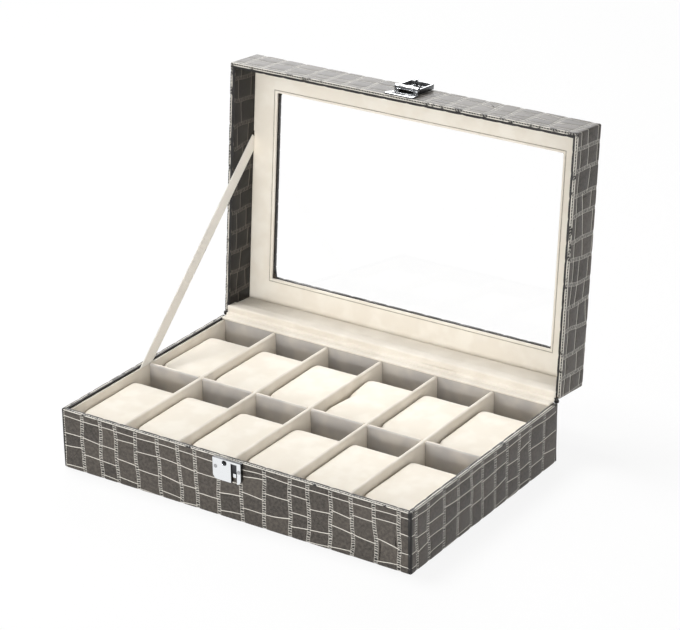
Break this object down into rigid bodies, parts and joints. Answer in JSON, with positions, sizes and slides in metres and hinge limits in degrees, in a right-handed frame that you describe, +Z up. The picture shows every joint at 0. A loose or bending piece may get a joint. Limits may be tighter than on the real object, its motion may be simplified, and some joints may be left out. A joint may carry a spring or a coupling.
{
  "type": "watch box",
  "caption": "Low rectangular watch box in taupe crocodile-grain leatherette with a cream velvet tray of removable cushions, a hinged window lid on a ribbon stay and a chrome hasp catch.",
  "frame": {"origin": "centre of the underside", "axes": "+X to the right along the front, +Y to the back, +Z up"},
  "size_m": [0.3, 0.2573, 0.2532],
  "materials": {
    "leatherette": "crocodile-embossed taupe leatherette, satin",
    "lining_velvet": "cream velvet over card",
    "cushion_velvet": "cream velvet over foam",
    "ribbon": "cream woven ribbon",
    "felt": "black felt",
    "fibreboard": "raw fibreboard",
    "window_glass": "clear glass",
    "bright_chrome": "polished chrome plate",
    "plated_steel": "nickel-plated steel"
  },
  "bodies": {
    "base": {"base_floor_board": "fibreboard", "base_front_board": "fibreboard", "base_back_board": "fibreboard", "base_left_board": "fibreboard", "base_right_board": "fibreboard", "base_cover": "leatherette", "underside_felt": "felt", "base_front_lining": "lining_velvet", "base_back_lining": "lining_velvet", "base_left_lining": "lining_velvet", "base_right_lining": "lining_velvet", "floor_lining": "lining_velvet", "long_divider": "lining_velvet", "cross_divider_1": "lining_velvet", "cross_divider_2": "lining_velvet", "cross_divider_3": "lining_velvet", "cross_divider_4": "lining_velvet", "cross_divider_5": "lining_velvet", "hinge_strip_base": "lining_velvet", "hinge_left_base_leaf": "plated_steel", "hinge_right_base_leaf": "plated_steel", "hinge_left_pin": "plated_steel", "hinge_right_pin": "plated_steel", "hinge_base_screws": "plated_steel", "ribbon_stay": "ribbon", "catch_case": "bright_chrome", "catch_rivets": "plated_steel", "slide_spring": "plated_steel"},
    "lid": {"lid_front_board": "fibreboard", "lid_back_board": "fibreboard", "lid_left_board": "fibreboard", "lid_right_board": "fibreboard", "lid_top_board": "fibreboard", "lid_cover": "leatherette", "lid_back_lining": "lining_velvet", "lid_side_lining": "leatherette", "glass_pane": "window_glass", "lid_inner_frame": "lining_velvet", "hinge_strip_lid": "lining_velvet", "hinge_left_lid_leaf": "plated_steel", "hinge_right_lid_leaf": "plated_steel", "hinge_lid_screws": "plated_steel", "hasp_plate": "bright_chrome", "hasp_rivets": "plated_steel", "hasp_pin": "plated_steel"},
    "hasp": {"hasp": "bright_chrome"},
    "thumb_slide": {"thumb_slide": "plated_steel"},
    "cushion_front_1": {"cushion_front_1": "cushion_velvet"},
    "cushion_front_2": {"cushion_front_2": "cushion_velvet"},
    "cushion_front_3": {"cushion_front_3": "cushion_velvet"},
    "cushion_front_4": {"cushion_front_4": "cushion_velvet"},
    "cushion_front_5": {"cushion_front_5": "cushion_velvet"},
    "cushion_front_6": {"cushion_front_6": "cushion_velvet"},
    "cushion_back_1": {"cushion_back_1": "cushion_velvet"},
    "cushion_back_2": {"cushion_back_2": "cushion_velvet"},
    "cushion_back_3": {"cushion_back_3": "cushion_velvet"},
    "cushion_back_4": {"cushion_back_4": "cushion_velvet"},
    "cushion_back_5": {"cushion_back_5": "cushion_velvet"},
    "cushion_back_6": {"cushion_back_6": "cushion_velvet"}
  },
  "joints": [
    {"name": "lid_hinge", "type": "hinge", "parent": "base", "child": "lid", "pos_m": [0, 0.1017, 0.04765], "axis": [-1, 0, 0], "range_deg": [-95, 0], "deforming": ["ribbon_stay"]},
    {"name": "hasp_pivot", "type": "hinge", "parent": "lid", "child": "hasp", "pos_m": [0, 0.1327, 0.25112], "axis": [-1, 0, 0], "range_deg": [-180, 0]},
    {"name": "thumb_slide_travel", "type": "slide", "parent": "base", "child": "thumb_slide", "axis": [0, 0, -1], "range_m": [0, 0.004], "stiffness_N_per_m": 250, "springref_m": -0.001, "deforming": ["slide_spring"]},
    {"name": "cushion_front_1_lift", "type": "slide", "parent": "base", "child": "cushion_front_1", "axis": [0, 0, 1], "range_m": [0, 0.06]},
    {"name": "cushion_front_2_lift", "type": "slide", "parent": "base", "child": "cushion_front_2", "axis": [0, 0, 1], "range_m": [0, 0.06]},
    {"name": "cushion_front_3_lift", "type": "slide", "parent": "base", "child": "cushion_front_3", "axis": [0, 0, 1], "range_m": [0, 0.06]},
    {"name": "cushion_front_4_lift", "type": "slide", "parent": "base", "child": "cushion_front_4", "axis": [0, 0, 1], "range_m": [0, 0.06]},
    {"name": "cushion_front_5_lift", "type": "slide", "parent": "base", "child": "cushion_front_5", "axis": [0, 0, 1], "range_m": [0, 0.06]},
    {"name": "cushion_front_6_lift", "type": "slide", "parent": "base", "child": "cushion_front_6", "axis": [0, 0, 1], "range_m": [0, 0.06]},
    {"name": "cushion_back_1_lift", "type": "slide", "parent": "base", "child": "cushion_back_1", "axis": [0, 0, 1], "range_m": [0, 0.06]},
    {"name": "cushion_back_2_lift", "type": "slide", "parent": "base", "child": "cushion_back_2", "axis": [0, 0, 1], "range_m": [0, 0.06]},
    {"name": "cushion_back_3_lift", "type": "slide", "parent": "base", "child": "cushion_back_3", "axis": [0, 0, 1], "range_m": [0, 0.06]},
    {"name": "cushion_back_4_lift", "type": "slide", "parent": "base", "child": "cushion_back_4", "axis": [0, 0, 1], "range_m": [0, 0.06]},
    {"name": "cushion_back_5_lift", "type": "slide", "parent": "base", "child": "cushion_back_5", "axis": [0, 0, 1], "range_m": [0, 0.06]},
    {"name": "cushion_back_6_lift", "type": "slide", "parent": "base", "child": "cushion_back_6", "axis": [0, 0, 1], "range_m": [0, 0.06]}
  ]
}
